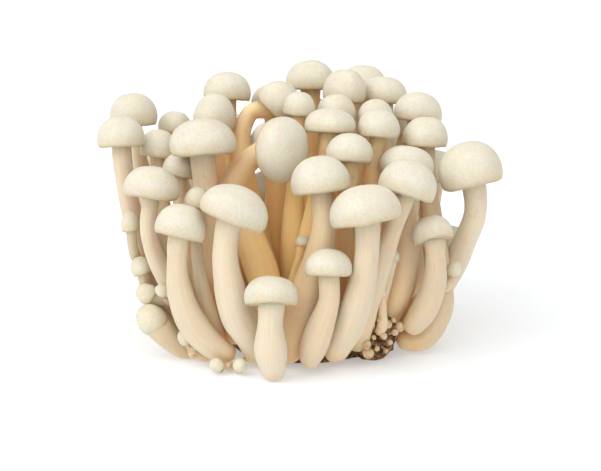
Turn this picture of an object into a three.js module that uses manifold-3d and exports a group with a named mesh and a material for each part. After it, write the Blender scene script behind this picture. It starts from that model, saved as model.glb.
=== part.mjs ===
// A bunch of white shimeji (beech mushrooms), standing on the plug of growing medium
// that it grew from. Millimetres, +Z up, the bunch's front towards -Y.
// Each mushroom is one closed body of stem and cap, lofted ring by ring along a curved
// centreline. A settling rule moves neighbours apart until none touch.
import * as THREE from 'three';
import { mergeVertices } from 'three/addons/utils/BufferGeometryUtils.js';
import Module from 'manifold-3d';

// Driving dimensions.
const GAP = 0.55;                 // least clear space between two mushrooms
const SOCKET_GAP = 0.42;          // clear space around a foot in its socket
const PLUG_RADIUS = 26;           // growing medium, mean radius
const PLUG_HEIGHT = 12;           // growing medium, mean height
const PLUG_CENTRE = [2, 2];
const FLOOR_GAP = 0.4;            // the lowest a foot comes over the ground

// How far the settling may go along x, y and z: depth is freest.
const SETTLE_FREEDOM = [0.4, 1, 0.25];
const SETTLE_STEPS = 420;
const SETTLE_CLOSE_ENOUGH = 0.02;
const STEM_SAMPLES = 22;          // points along a stem while settling
const STEM_SPREAD = 3;            // how many of them share a push, on the stem
const CAP_SPREAD = 6;             // and from the cap down
// Rings of spheres that stand for a cap: shares of its radius, and height of its height.
const CAP_SPHERES = [
  { out: 0.75, up: 0.15, thick: 0.27, count: 14 },
  { out: 0.46, up: 0.44, thick: 0.45, count: 8 },
];

// Sides and rings of the faceted mushrooms.
const LARGE_SIDES = 7;
const SMALL_SIDES = 6;
const SMALL_CAP_WIDTH = 8.5;      // below this a mushroom takes the fewer sides
const RING_LENGTH = 24;           // every such length of stem takes one more ring
const BEND_LENGTH = 16;           // a bend of one radian counts as this much stem
const SOCKET_RINGS = 4;           // how far up the stem a socket is cut
const FOOT_POINT = 0.3;           // the foot's underside bulges by this much

// The cap's section: share of the cap radius, and height over the rim as a share of
// the cap's height. The first two rings carry the gills, as ridges and valleys.
const CAP_PROFILE = [
  { out: 0.50, up: 0.10, ridge: 0.04 },
  { out: 0.80, up: 0.05, ridge: 0.05 },
  { out: 0.92, up: 0.00, ridge: 0 },
  { out: 1.00, up: 0.27, ridge: 0 },
  { out: 0.83, up: 0.69, ridge: 0 },
  { out: 0.44, up: 0.95, ridge: 0 },
];
const NECK_UP = 0.08;             // where the stem meets the gills, share of cap height
const NECK_FLARE = 1.08;          // the stem widens by this much there

const CAP_COLOUR = 0xece3d2;
const STEM_SHADE = 0xe4cfb2;
const MEDIUM_COLOUR = 0x7a5236;

// name, rim centre, cap width, cap height, cap's lean (x, y, z), neck and butt radius,
// then the stem's points from the foot up, the last a little below the rim.
const rows = [
  ['left_outer', [-51.2, -6, 59.5], 13.7, 8.8, [0, 0.18, 1], 2.6, 3.7,
    [[-30, -7, 5], [-37, -6, 11], [-43, -5, 21], [-46, -4, 30.5], [-49, -4, 41.5], [-50.5, -5, 52]]],
  ['left_back', [-48.7, 10, 62.8], 14.1, 9, [0.04, 0.18, 1], 2.1, 3.5,
    [[-27, 4, 5], [-34, 5, 15.5], [-41.5, 6, 31], [-46.5, 8, 50.5]]],
  ['left_rear', [-37, 17, 58.9], 10.1, 6.3, [0.04, 0.16, 1], 2.1, 3.5,
    [[-23, 12, 5], [-30, 13, 21.5], [-35, 15, 43], [-36.5, 16, 52.5]]],
  ['left_inner', [-41.1, 1, 54.8], 10.7, 8.1, [0.07, 0.18, 1], 1.8, 3.4,
    [[-23, -2, 5], [-31, -1, 16], [-38, 0, 32], [-40.5, 0.5, 46.5]]],
  ['left_tucked', [-35.1, -5, 50.9], 10.3, 6.9, [0.25, 0.17, 1], 2.1, 3.7,
    [[-19, -8, 5], [-26, -8, 16.5], [-32.5, -6, 33], [-34.5, -5, 44.5]]],
  ['left_front', [-42, -22, 48.3], 15.9, 9, [0.11, 0.19, 1], 2, 3,
    [[-26, -16, 4], [-31, -17, 11], [-37, -18, 21], [-41, -19, 30], [-43, -21, 40]]],
  ['left_low_front', [-33.8, -32, 39.6], 14.6, 9.2, [0.25, 0.17, 1], 2.8, 4.3,
    [[-19, -27.5, 3.5], [-26, -28, 8.5], [-31.5, -28.5, 16], [-34, -29.5, 25], [-34.3, -31, 33]]],
  ['front_left_wide', [-19.5, -36, 45], 19.2, 10.2, [0.41, 0.17, 1], 3.2, 4.9,
    [[-14.5, -26, 3.5], [-16, -29.5, 10.5], [-19, -34, 22], [-20.8, -36, 35.5]]],
  ['front_low', [-8.1, -42.5, 22.8], 15.2, 8.3, [0, 0.34, 1], 3.5, 4.4,
    [[-7.5, -38.5, 0.5], [-8, -40, 7], [-8.5, -41.5, 15]]],
  ['front_short', [7.9, -38.5, 30.1], 13, 7.6, [0, 0.21, 1], 2.6, 3.8,
    [[2, -31, 3.5], [5, -34.5, 10.5], [8, -37, 19]]],
  ['front_centre', [6, -27, 50.9], 16.8, 10.2, [-0.11, 0.18, 1], 2.8, 4.7,
    [[-4, -28.5, 3.2], [-1, -28, 12], [3, -27.8, 25], [6.6, -27.6, 39]]],
  ['front_right_wide', [18.4, -36, 44.6], 19.7, 10.8, [-0.2, 0.19, 1], 3.1, 4.2,
    [[11.5, -23, 3.5], [13.5, -28.5, 11.5], [17, -34.5, 26], [18.4, -36, 37]]],
  ['right_front', [29.3, -23, 49.8], 16.3, 10.1, [0.27, 0.17, 1], 2.4, 3.8,
    [[16, -23, 5], [19, -26, 18], [22.5, -26.5, 31], [26.5, -25, 42.5]]],
  ['right_low_front', [37.6, -23.5, 36.1], 11.9, 7.3, [-0.23, 0.43, 1], 2.7, 3.9,
    [[31, -17.5, 8.8], [34, -19, 13.5], [37.5, -20.5, 22], [37.8, -22.5, 30]]],
  ['right_outer', [49.5, -9, 49], 18.7, 12.8, [-0.25, 0.17, 1], 3.2, 3.9,
    [[29.5, -1, 5], [35.5, -2, 11], [41, -4, 19], [45.5, -6.5, 29], [48.8, -8.5, 38],
      [50.4, -9.5, 44]]],
  ['right_bowed', [35.7, 0, 57.9], 13.2, 8.6, [0.04, 0.18, 1], 2.5, 3.7,
    [[27.5, -14.5, 4.6], [32, -14.8, 4.7], [37, -14.2, 7], [39.8, -12.5, 13.5], [40.2, -10, 22],
      [38.5, -5.5, 35], [36.4, -1.5, 47.5]]],
  ['right_tucked', [29.5, -9, 52.2], 15.6, 8.3, [0.07, 0.18, 1], 2.9, 4.6,
    [[23, -14.5, 5], [28, -15, 19], [30, -13, 33.5], [30, -11, 44]]],
  ['centre_left_wide', [-27.6, -14, 59], 19.2, 10.2, [-0.04, 0.18, 1], 3.1, 4.4,
    [[-18, -16, 5], [-19.5, -15, 19.5], [-22.5, -14, 34], [-26.5, -13.5, 49.5]]],
  ['centre_left_round', [-25.3, 4, 62.6], 12.3, 10.4, [0.11, 0.16, 1], 2.5, 3.9,
    [[-15, 0, 5], [-17, 1, 20], [-21.5, 2, 37.5], [-24.5, 3, 53]]],
  ['top_left', [-21.6, 15, 69], 13.8, 8.2, [0.05, 0.16, 1], 2.6, 4,
    [[-14, 9, 5], [-16, 10, 24], [-19, 13, 44], [-21, 14.5, 59.5]]],
  ['top_left_middle', [-6.3, 22, 65.3], 13, 8, [0, 0.14, 1], 2.6, 4,
    [[-6.5, 11, 5], [-6.5, 14, 25.5], [-6.5, 19, 47.5], [-6, 21, 57]]],
  ['top_bent', [-7, 8, 67], 12.6, 8.8, [0.72, -0.12, 0.78], 2.2, 3.8,
    [[-8, 3, 5], [-12.5, 4, 26], [-16, 4.5, 48], [-16.3, 5.5, 61], [-12.6, 7, 66.8]]],
  ['centre_facing', [-5.4, -9, 61], 18.8, 9.6, [0.8, -0.6, 0.04], 3, 4.5,
    [[-9, -15, 5], [-14, -15, 22], [-20, -12.5, 37], [-21, -9.5, 45.5], [-16.5, -7.5, 53],
      [-11, -7, 58.5]]],
  ['centre_slim', [-0.1, 1.5, 66.9], 9.3, 6.9, [0.07, 0.14, 1], 1.9, 3.5,
    [[-1, -7, 5], [-2.2, -5, 24], [-1.6, -2, 44.5], [-0.6, 0.5, 59]]],
  ['centre_high', [7.1, -5, 63.9], 14.8, 6.9, [0.04, 0.18, 1], 2.8, 4.2,
    [[0.5, -15, 5], [2, -13, 24], [4.5, -9, 41.5], [6.5, -6, 55.5]]],
  ['centre_back', [10.3, 8, 65.1], 11.3, 7.5, [0.04, 0.14, 1], 2.4, 3.9,
    [[6, -1, 5], [7, 1, 23.5], [9, 5, 45], [10, 7, 57]]],
  ['centre_right', [13.6, -15, 57.7], 13.4, 8.1, [0.05, 0.18, 1], 2.5, 4,
    [[8, -18, 5], [9.5, -19, 24], [11.5, -18, 39.5], [13, -16, 50.5]]],
  ['right_inner', [20.4, -5, 62.3], 12.3, 8.1, [0.07, 0.18, 1], 2.1, 3.8,
    [[14, -9, 5], [17, -9, 24], [21, -8, 43.5], [21.5, -6, 55.5]]],
  ['top_middle', [2.5, 25, 69], 14.6, 8.6, [-0.04, 0.14, 1], 2.7, 4.2,
    [[1, 13, 5], [1.4, 16, 26.5], [2.1, 21, 49], [2.3, 24, 62]]],
  ['top_right_middle', [11.6, 18, 67.9], 13, 9.4, [0.07, 0.14, 1], 2.6, 4,
    [[7.5, 7.5, 5], [8.5, 10, 26], [10.5, 15, 47.5], [11.5, 17, 59.5]]],
  ['top_far_right', [18.8, 39, 66.2], 13.8, 8.7, [0.05, 0.14, 1], 2.7, 4.1,
    [[10, 19.5, 5], [13, 24, 26], [17, 33, 46.5], [18, 37.5, 57.5]]],
  ['top_right', [24.8, 25, 66.2], 13.8, 7.7, [0.11, 0.14, 1], 2.7, 4.1,
    [[15.5, 12, 5], [18, 15, 26], [22.5, 21, 46.5], [24.5, 24, 57.5]]],
  ['right_upper_slim', [21.6, 8, 63], 10.5, 7.5, [0.05, 0.14, 1], 2.1, 3.7,
    [[13.5, 0, 5], [16.5, 2, 25.5], [20, 5, 45], [21, 7, 56]]],
  ['right_upper', [33.7, 16.5, 62.7], 14.1, 8.4, [0.09, 0.16, 1], 2.4, 3.9,
    [[22, 5, 5], [25.5, 8, 24], [28.5, 13, 44], [31.5, 16, 56]]],
  // Round the back, where the bunch is as full as in front.
  ['back_left_high', [-31, 31, 50], 15, 8.6, [-0.1, 0.12, 1], 2.8, 4.2,
    [[-18, 19, 5], [-23, 22, 18], [-28.5, 27, 34], [-30.5, 30, 43]]],
  ['back_middle_high', [4, 37, 56], 16, 9, [-0.03, 0.1, 1], 2.9, 4.2,
    [[0, 19, 5], [1, 24, 23], [2.6, 31, 37], [3.8, 35.5, 49]]],
  ['back_right_high', [33, 34, 54.5], 15, 8.6, [0.12, 0.12, 1], 2.8, 4.2,
    [[19, 18, 5], [24, 22, 20], [29.5, 28, 37], [32, 32.5, 47]]],
  ['back_left_outer', [-45, 26, 42], 15, 8.4, [-0.2, 0.12, 1], 2.7, 4,
    [[-26, 15, 4.5], [-33, 18, 12], [-39.5, 22, 23], [-43.5, 25, 34]]],
  ['back_left_mid', [-23, 43, 50], 17, 9.4, [-0.12, 0.2, 1], 3, 4.4,
    [[-13, 25, 4.5], [-16, 30, 18], [-20, 37, 32], [-22.5, 41.5, 43]]],
  ['back_middle_wide', [-8, 45, 47], 18, 10, [0, 0.2, 1], 3.2, 4.6,
    [[-5, 24, 4.5], [-6, 31, 16], [-7.2, 38.5, 30], [-7.8, 43, 40]]],
  ['back_right_mid', [22.5, 46, 48], 16, 9, [0.1, 0.2, 1], 2.9, 4.3,
    [[11, 26.5, 4.5], [15, 32, 16], [19.5, 40, 30], [22, 44.5, 41]]],
  ['back_right_outer', [39.5, 30, 42], 15, 8.8, [0.2, 0.1, 1], 2.8, 4.1,
    [[26.5, 15, 4.5], [32, 19, 13], [36, 24, 24], [38.5, 28.5, 35]]],
  ['right_side_mid', [43.5, 14, 24], 12, 7.4, [0.25, 0, 1], 2.3, 3.7,
    [[29.5, 7.5, 4], [37, 10, 8.5], [41, 12.5, 13.5], [42.7, 13.8, 18.5]]],
  ['back_left_low', [-36, 38, 36], 13, 7.6, [-0.15, 0.18, 1], 2.4, 3.8,
    [[-20, 26, 3.5], [-27, 31, 11], [-33, 35.5, 21], [-35.5, 37.5, 30]]],
  ['back_middle_low', [-10, 49, 32], 14, 8.2, [-0.05, 0.2, 1], 2.7, 4.3,
    [[-5.5, 32, 3], [-7.5, 38, 9], [-9.3, 44, 17], [-9.8, 47.5, 25]]],
  ['back_right_low', [33, 43, 30], 12.5, 7.4, [0.12, 0.16, 1], 2.4, 3.9,
    [[17.5, 28, 3.5], [25, 34, 9.5], [30, 39.5, 17], [32.5, 42, 24]]],
  // Young ones, with caps no wider than a fingertip.
  ['young_left_upper', [-29.4, -20.5, 45.3], 7.3, 5.9, [0.22, 0.17, 1], 1.3, 2.2,
    [[-22.5, -20, 5], [-26, -20.5, 16], [-28.5, -21, 30], [-29, -20.5, 40]]],
  ['young_left_low', [-48.2, -12, 36.1], 5.5, 5.7, [-0.11, 0.18, 1], 1.3, 2,
    [[-31, -8, 5], [-38.5, -8, 13], [-45, -9, 23], [-47.5, -11.5, 31]]],
  ['bud_left_high', [-45.2, -10.5, 24], 6, 5, [-0.35, 0, 1], 1.6, 2.2,
    [[-32, -10, 6], [-38, -10.3, 11], [-43.7, -10.5, 19.5]]],
  ['bud_left_middle', [-42.4, -14.5, 17.6], 6, 5, [-0.8, -0.1, 0.5], 1.6, 2,
    [[-30.5, -13.5, 5], [-33.5, -14.3, 11], [-37.6, -14.5, 15.8]]],
  ['bud_left_lumpy', [-40.5, -17, 10.6], 8.2, 7.4, [-0.62, -0.2, 0.75], 3.2, 3,
    [[-30.5, -15, 3.4], [-34.5, -16, 5.2], [-38, -16.8, 8]]],
  ['bud_left_floor', [-31.8, -22.6, 6.6], 4.6, 4, [-0.6, -0.2, 0.8], 1.4, 2.1,
    [[-25.5, -21.5, 2.6], [-28, -22, 3], [-30.4, -22.4, 5]]],
  ['bud_left_side', [-38, -20.8, 21.2], 3.8, 3.2, [-0.8, -0.2, 0.35], 1.1, 1.5,
    [[-32.8, -21.2, 17.6], [-34.7, -21.1, 19.6], [-36.4, -20.9, 20.7]]],
  ['bud_floor_left', [-23.2, -33.6, 2.5], 4, 3.2, [-0.35, -0.7, 0.62], 1.2, 1.6,
    [[-22.2, -31.2, 1.9], [-22.8, -32.4, 2.1]]],
  ['bud_floor_middle', [-17.2, -33.8, 2.5], 4, 3.2, [0.2, -0.75, 0.62], 1.2, 1.6,
    [[-17.6, -31.4, 1.9], [-17.3, -32.6, 2.1]]],
  ['young_centre', [0.6, -20.5, 34], 4.4, 3, [0.04, 0.21, 1], 1.2, 2,
    [[-3.5, -20, 5], [-3, -20, 16], [-0.9, -20.5, 28]]],
  ['young_right', [25.7, -23.5, 30.3], 3.5, 3.4, [0.22, 0.17, 1], 1.1, 1.9,
    [[19.5, -21, 6], [22, -22, 16], [25, -23.2, 26.5]]],
  ['young_right_outer', [43.2, -15.5, 24.3], 4.4, 4.4, [0.3, -0.1, 1], 1.2, 1.6,
    [[40.5, -13, 20.5], [41.8, -14, 21.5], [42.7, -15, 23]]],
  ['bud_right_low', [22.4, -24.4, 20.4], 3, 2.6, [-0.05, -0.3, 1], 0.9, 1.4,
    [[20.5, -22, 9], [22, -23.6, 15], [22.4, -24.2, 18.6]]],
];

// Pins: the youngest growth, round heads on short stalks. Head, radius, stalk's root.
const LUMP_MIDDLE = [20.5, -16, 7.5];
const LUMP_SIZE = [7.4, 7, 8.8];
const pins = [
  [[19.4, -23.6, 15.9], 1.3, LUMP_MIDDLE], [[22.8, -23, 16.8], 1.6, LUMP_MIDDLE],
  [[22.8, -23.8, 13.7], 1.3, LUMP_MIDDLE], [[19.7, -24.6, 12], 1.2, LUMP_MIDDLE],
  [[16.6, -24.4, 9.9], 1.1, LUMP_MIDDLE], [[15.7, -24.8, 6.2], 1.6, LUMP_MIDDLE],
  [[18.5, -25.2, 6.5], 1.5, LUMP_MIDDLE], [[19.2, -25.2, 3.9], 1.5, LUMP_MIDDLE],
  [[24.8, -23, 11.7], 1.1, LUMP_MIDDLE], [[23.6, -24, 8.6], 1, LUMP_MIDDLE],
  [[26.8, -21.6, 9], 1, LUMP_MIDDLE], [[28.2, -19.8, 10], 1.3, LUMP_MIDDLE],
  [[-12, -24.2, 4], 1.8, [-9, -16, 4]], [[5, -24.6, 9], 1.5, [5, -16, 6]],
];

const wasm = await Module();
wasm.setup();

const vector = (place) => new THREE.Vector3(...place);
const UP = vector([0, 0, 1]);

// Stem radius from the foot (0) to the neck (1): a swollen butt, then an even stem.
function stemRadius(item, along) {
  const belly = THREE.MathUtils.smoothstep(along, 0, 0.2);
  const taper = THREE.MathUtils.smoothstep(along, 0.3, 0.92);
  const butt = item.butt * (0.78 + 0.22 * belly);
  return THREE.MathUtils.lerp(butt, item.neck, taper) * (along > 0.94 ? NECK_FLARE : 1);
}

// A mushroom's row as named values, with its centreline in even steps.
function readRow([name, rim, width, tall, lean, neck, butt, stem]) {
  const axis = vector(lean).normalize();
  const top = vector(rim);
  const last = top.clone().addScaledVector(axis, NECK_UP * tall);
  const below = top.clone().addScaledVector(axis, -0.06 * width);
  const points = [...stem.map(vector), below, last];
  const curve = new THREE.CatmullRomCurve3(points, false, 'centripetal');
  const line = curve.getSpacedPoints(STEM_SAMPLES - 1);
  const shift = line.map(() => new THREE.Vector3());
  return { name, rim: top, radius: width / 2, tall, axis, neck, butt, line, shift };
}

// Two directions across an axis, the first as near to +X as it can be.
function across(axis) {
  const side = new THREE.Vector3(1, 0, 0).addScaledVector(axis, -axis.x).normalize();
  return [side, new THREE.Vector3().crossVectors(axis, side)];
}

// Spheres that stand for a mushroom while it settles: a chain along the stem, two rings
// of them in the cap and one in its crown. Each keeps the stem point it moves with.
function spheresOf(item) {
  const spheres = [];
  item.line.forEach((point, i) => {
    const radius = stemRadius(item, i / (STEM_SAMPLES - 1));
    spheres.push({ home: point, at: point.clone(), radius, step: i });
  });
  const top = STEM_SAMPLES - 1;
  const [side, other] = across(item.axis);
  for (const { out, up, thick, count } of CAP_SPHERES) {
    for (let k = 0; k < count; k += 1) {
      const turn = (k / count) * 2 * Math.PI;
      const home = item.rim.clone()
        .addScaledVector(side, Math.cos(turn) * out * item.radius)
        .addScaledVector(other, Math.sin(turn) * out * item.radius)
        .addScaledVector(item.axis, up * item.tall);
      spheres.push({ home, at: home.clone(), radius: thick * item.radius, step: top });
    }
  }
  const crown = Math.min(0.64 * item.radius, item.tall * 0.7);
  const home = item.rim.clone().addScaledVector(item.axis, item.tall - crown);
  spheres.push({ home, at: home.clone(), radius: crown, step: top });
  return spheres;
}

// Pushes two spheres apart when they are closer than the gap.
function partSpheres(a, b, itemA, itemB) {
  const [x, y, z] = [b.at.x - a.at.x, b.at.y - a.at.y, b.at.z - a.at.z];
  const reach = a.radius + b.radius + GAP;
  const squared = x * x + y * y + z * z;
  if (squared >= reach * reach) return 0;
  const distance = Math.sqrt(squared) || 0.01;
  const [fx, fy, fz] = SETTLE_FREEDOM;
  const push = new THREE.Vector3(x * fx, y * fy, z * fz).divideScalar(distance);
  const along = (push.x * x + push.y * y + push.z * z) / distance;
  push.multiplyScalar((reach - distance) * 0.5 / Math.max(along, 0.2));
  itemA.push[a.step].sub(push);
  itemB.push[b.step].add(push);
  itemA.pushes[a.step] += 1;
  itemB.pushes[b.step] += 1;
  return reach - distance;
}

// Spreads each push along the stem, so that it stays a smooth curve.
function spreadPushes(item) {
  item.push.forEach((push, i) => {
    if (!item.pushes[i]) return;
    const width = i === STEM_SAMPLES - 1 ? CAP_SPREAD : STEM_SPREAD;
    item.shift.forEach((shift, j) => {
      const share = Math.exp(-(((j - i) / width) ** 2));
      shift.addScaledVector(push, 0.7 * share / item.pushes[i]);
    });
  });
  item.line.forEach((point, i) => {
    const radius = stemRadius(item, i / (STEM_SAMPLES - 1));
    const lowest = point.z + item.shift[i].z - radius;
    if (i > 1 && lowest < FLOOR_GAP) item.shift[i].z += FLOOR_GAP - lowest;
  });
  item.shift[0].z = 0;
}

// Whether the boxes of two mushrooms come near each other.
function near(a, b) {
  return ['x', 'y', 'z'].every((k) => a.min[k] < b.max[k] + GAP && b.min[k] < a.max[k] + GAP);
}

// Settles the whole bunch, then moves each centreline and cap by its shift.
function settle(items) {
  const all = items.map(spheresOf);
  for (let step = 0; step < SETTLE_STEPS; step += 1) {
    const boxes = items.map((item, n) => {
      item.push = item.line.map(() => new THREE.Vector3());
      item.pushes = item.line.map(() => 0);
      const box = new THREE.Box3();
      for (const sphere of all[n]) {
        sphere.at.copy(sphere.home).add(item.shift[sphere.step]);
        box.expandByPoint(sphere.at.clone().addScalar(sphere.radius));
        box.expandByPoint(sphere.at.clone().addScalar(-sphere.radius));
      }
      return box;
    });
    let worst = 0;
    for (let a = 0; a < items.length; a += 1) {
      for (let b = a + 1; b < items.length; b += 1) {
        if (!near(boxes[a], boxes[b])) continue;
        for (const one of all[a]) {
          for (const two of all[b]) {
            worst = Math.max(worst, partSpheres(one, two, items[a], items[b]));
          }
        }
      }
    }
    if (worst < SETTLE_CLOSE_ENOUGH) break;
    items.forEach(spreadPushes);
  }
  for (const item of items) {
    item.line.forEach((point, i) => point.add(item.shift[i]));
    item.rim.add(item.shift[STEM_SAMPLES - 1]);
  }
}

// A closed body from rings of points, with a pole at each end. A ring may have twice
// the points of the one before it.
function loft(startPole, rings, endPole) {
  const places = [startPole, ...rings.flat(), endPole].flatMap((point) => point.toArray());
  const faces = [];
  const first = (n) => 1 + rings.slice(0, n).reduce((sum, ring) => sum + ring.length, 0);
  const last = first(rings.length);
  const bottom = rings[0].length;
  for (let k = 0; k < bottom; k += 1) faces.push(0, first(0) + ((k + 1) % bottom), first(0) + k);
  rings.slice(1).forEach((ring, n) => {
    const low = rings[n].length;
    const [under, over] = [first(n), first(n + 1)];
    for (let k = 0; k < low; k += 1) {
      const next = (k + 1) % low;
      if (ring.length === low) {
        faces.push(under + k, under + next, over + next, under + k, over + next, over + k);
      } else {
        const [a, b, c] = [2 * k, 2 * k + 1, (2 * k + 2) % ring.length];
        faces.push(under + k, over + b, over + a);
        faces.push(under + k, under + next, over + b, under + next, over + c, over + b);
      }
    }
  });
  const top = rings.at(-1).length;
  const edge = last - top;
  for (let k = 0; k < top; k += 1) faces.push(last, edge + k, edge + ((k + 1) % top));
  const geometry = new THREE.BufferGeometry();
  geometry.setAttribute('position', new THREE.Float32BufferAttribute(places, 3));
  geometry.setIndex(faces);
  return geometry;
}

// A ring of points around a centre, in the plane across the axis.
function ringAround(centre, axis, radius, sides, ridge = 0) {
  const [side, other] = across(axis);
  return Array.from({ length: sides }, (_, k) => {
    const turn = (k / sides) * 2 * Math.PI;
    return centre.clone()
      .addScaledVector(side, Math.cos(turn) * radius)
      .addScaledVector(other, Math.sin(turn) * radius)
      .addScaledVector(axis, k % 2 ? ridge : -ridge);
  });
}

// Where the rings sit along a stem, 0 to 1: evenly, but closer where it bends.
function ringPlaces({ line }, count) {
  const reach = [0];
  for (let i = 1; i < line.length; i += 1) {
    const step = new THREE.Vector3().subVectors(line[i], line[i - 1]);
    const next = new THREE.Vector3().subVectors(line[Math.min(i + 1, line.length - 1)], line[i]);
    const bend = next.lengthSq() > 0 ? step.angleTo(next) : 0;
    reach.push(reach[i - 1] + step.length() + BEND_LENGTH * bend);
  }
  return Array.from({ length: count }, (_, k) => {
    const wanted = reach.at(-1) * (k / (count - 1));
    const i = Math.max(reach.findIndex((far) => far >= wanted - 1e-9), 1);
    return (i - 1 + (wanted - reach[i - 1]) / (reach[i] - reach[i - 1])) / (line.length - 1);
  });
}

// Stem rings from the foot to the neck.
function stemRings(item, sides, count, grow = 0) {
  const curve = new THREE.CatmullRomCurve3(item.line, false, 'centripetal');
  // The foot's ring lies flat, unless the next ring is too near for that.
  const step = curve.getLength() / (count - 1) / item.butt;
  const flat = 0.8 * THREE.MathUtils.smoothstep(step, 0.6, 1.1);
  return ringPlaces(item, count).map((along, k) => {
    const axis = curve.getTangent(Math.min(along, 1));
    axis.lerp(item.axis, THREE.MathUtils.smoothstep(along, 0.86, 1)).normalize();
    if (k === 0) axis.lerp(UP, flat).normalize();
    return ringAround(curve.getPoint(along), axis, stemRadius(item, along) + grow, sides);
  });
}

// Sides of the stem, and its rings: more on a longer stem.
function detailOf(item) {
  const sides = 2 * item.radius < SMALL_CAP_WIDTH ? SMALL_SIDES : LARGE_SIDES;
  const length = item.line.at(-1).distanceTo(item.line[0]);
  return [sides, 4 + Math.round(length / RING_LENGTH)];
}

function mushroomGeometry(item) {
  const [stemSides, count] = detailOf(item);
  const rings = stemRings(item, stemSides, count);
  // A young cap is hardly wider than its stem, so its gills start further out.
  const stemShare = (NECK_FLARE * item.neck) / item.radius;
  CAP_PROFILE.forEach(({ out, up, ridge }, k) => {
    const centre = item.rim.clone().addScaledVector(item.axis, up * item.tall);
    const further = Math.min(stemShare + 0.1 * (k + 1), 0.84 + 0.03 * (k + 1));
    const width = (ridge ? Math.max(out, further) : out) * item.radius;
    rings.push(ringAround(centre, item.axis, width, 2 * stemSides, ridge * item.radius));
  });
  const foot = item.line[0].clone();
  foot.z -= FOOT_POINT;
  const crown = item.rim.clone().addScaledVector(item.axis, item.tall);
  return loft(foot, rings, crown);
}

function middleOf(ring) {
  return ring.reduce((sum, point) => sum.add(point), new THREE.Vector3()).divideScalar(ring.length);
}

function solid(geometry) {
  const bare = new THREE.BufferGeometry();
  bare.setAttribute('position', geometry.getAttribute('position').clone());
  bare.setIndex(geometry.getIndex());
  const merged = mergeVertices(bare, 1e-5);
  return new wasm.Manifold(new wasm.Mesh({
    numProp: 3,
    vertProperties: new Float32Array(merged.getAttribute('position').array),
    triVerts: new Uint32Array(merged.getIndex().array),
  }));
}

function fromSolid(body) {
  const mesh = body.getMesh();
  const geometry = new THREE.BufferGeometry();
  const places = new Float32Array(mesh.vertProperties);
  geometry.setAttribute('position', new THREE.BufferAttribute(places, 3));
  geometry.setIndex(Array.from(mesh.triVerts));
  return geometry;
}

// The growing medium: a crumbly disc with a flat underside, before the feet are cut out.
function plugGeometry() {
  const sides = 18;
  const section = [[0.92, 0], [1.01, 0.35], [0.92, 0.9], [0.5, 1.04]];
  const [cx, cy] = PLUG_CENTRE;
  const rings = section.map(([out, up], n) => Array.from({ length: sides }, (_, k) => {
    const turn = (k / sides) * 2 * Math.PI;
    const crumb = 1 + 0.03 * Math.sin(3 * turn + n) + 0.025 * Math.sin(7 * turn + 2 * n);
    const radius = PLUG_RADIUS * out * crumb;
    const lift = n ? PLUG_HEIGHT * up * (1 + 0.09 * Math.sin(4 * turn + 1.7 * n)) : 0;
    return new THREE.Vector3(cx + Math.cos(turn) * radius, cy + Math.sin(turn) * radius, lift);
  }));
  const centre = (z) => new THREE.Vector3(cx, cy, z);
  return loft(centre(0), rings, centre(PLUG_HEIGHT));
}

// A pin's head, and its stalk down to the root.
function pinSolid([place, radius, root]) {
  const head = new THREE.SphereGeometry(radius, 5, 3);
  head.rotateX(Math.PI / 2);
  head.translate(...place);
  const way = vector(place).sub(vector(root));
  const stalk = new THREE.CylinderGeometry(radius * 0.42, radius * 0.5, way.length(), 5);
  stalk.translate(0, way.length() / 2, 0);
  stalk.applyQuaternion(new THREE.Quaternion().setFromUnitVectors(
    new THREE.Vector3(0, 1, 0), way.clone().normalize()));
  stalk.translate(...root);
  return solid(head).add(solid(stalk));
}

// A lump of medium that stands out at the front right, where the pins grow on it.
function lumpGeometry() {
  const geometry = new THREE.SphereGeometry(1, 10, 6);
  geometry.rotateX(Math.PI / 2);
  geometry.scale(...LUMP_SIZE);
  geometry.translate(...LUMP_MIDDLE);
  return geometry;
}

// The medium with its pins, less a socket for each foot; loose crumbs are dropped.
function growingMedium(items) {
  let body = solid(plugGeometry()).add(solid(lumpGeometry()));
  const slab = new THREE.BoxGeometry(120, 120, 30);
  slab.translate(0, 0, -15);
  body = body.subtract(solid(slab));
  for (const pin of pins) body = body.add(pinSolid(pin));
  for (const item of items) {
    const [sides, count] = detailOf(item);
    const rings = stemRings(item, sides, count, SOCKET_GAP).slice(0, SOCKET_RINGS);
    const under = item.line[0].clone();
    under.z -= FOOT_POINT + SOCKET_GAP;
    rings.unshift(rings[0].map((point) => point.clone().setZ(point.z - SOCKET_GAP)));
    const over = middleOf(rings.at(-1));
    body = body.subtract(solid(loft(under, rings, over)));
  }
  const pieces = body.decompose();
  return pieces.reduce((best, piece) => (piece.volume() > best.volume() ? piece : best));
}

function namedMesh(name, geometry, colour, roughness) {
  const material = new THREE.MeshStandardMaterial({ color: colour, roughness, metalness: 0 });
  const mesh = new THREE.Mesh(geometry, material);
  mesh.name = name;
  return mesh;
}

const bunch = new THREE.Group();
const items = rows.map(readRow);
settle(items);
for (const item of items) {
  const colour = item.radius * 2 < SMALL_CAP_WIDTH ? STEM_SHADE : CAP_COLOUR;
  const name = /^(bud|young)/.test(item.name) ? item.name : `mushroom_${item.name}`;
  bunch.add(namedMesh(name, mushroomGeometry(item), colour, 0.55));
}
bunch.add(namedMesh('growing_medium', fromSolid(growingMedium(items)), MEDIUM_COLOUR, 0.95));

// The origin is the middle of the bunch's box, at the level it stands on.
const box = new THREE.Box3().setFromObject(bunch);
const middle = box.getCenter(new THREE.Vector3());
bunch.position.set(-middle.x, -middle.y, -box.min.z);
bunch.updateMatrixWorld(true);

export default bunch;
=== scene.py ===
# %% [markdown]
# # A bunch of white shimeji
# White shimeji grow crowded on one plug of growing medium, so their stems start close
# together, bow outward and end in small domed caps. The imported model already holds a
# plain faceted solid for each mushroom at its real size and place. This lesson reads
# those solids and grows a fine, soft mushroom on each of them.

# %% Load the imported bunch
import math
import random

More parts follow.
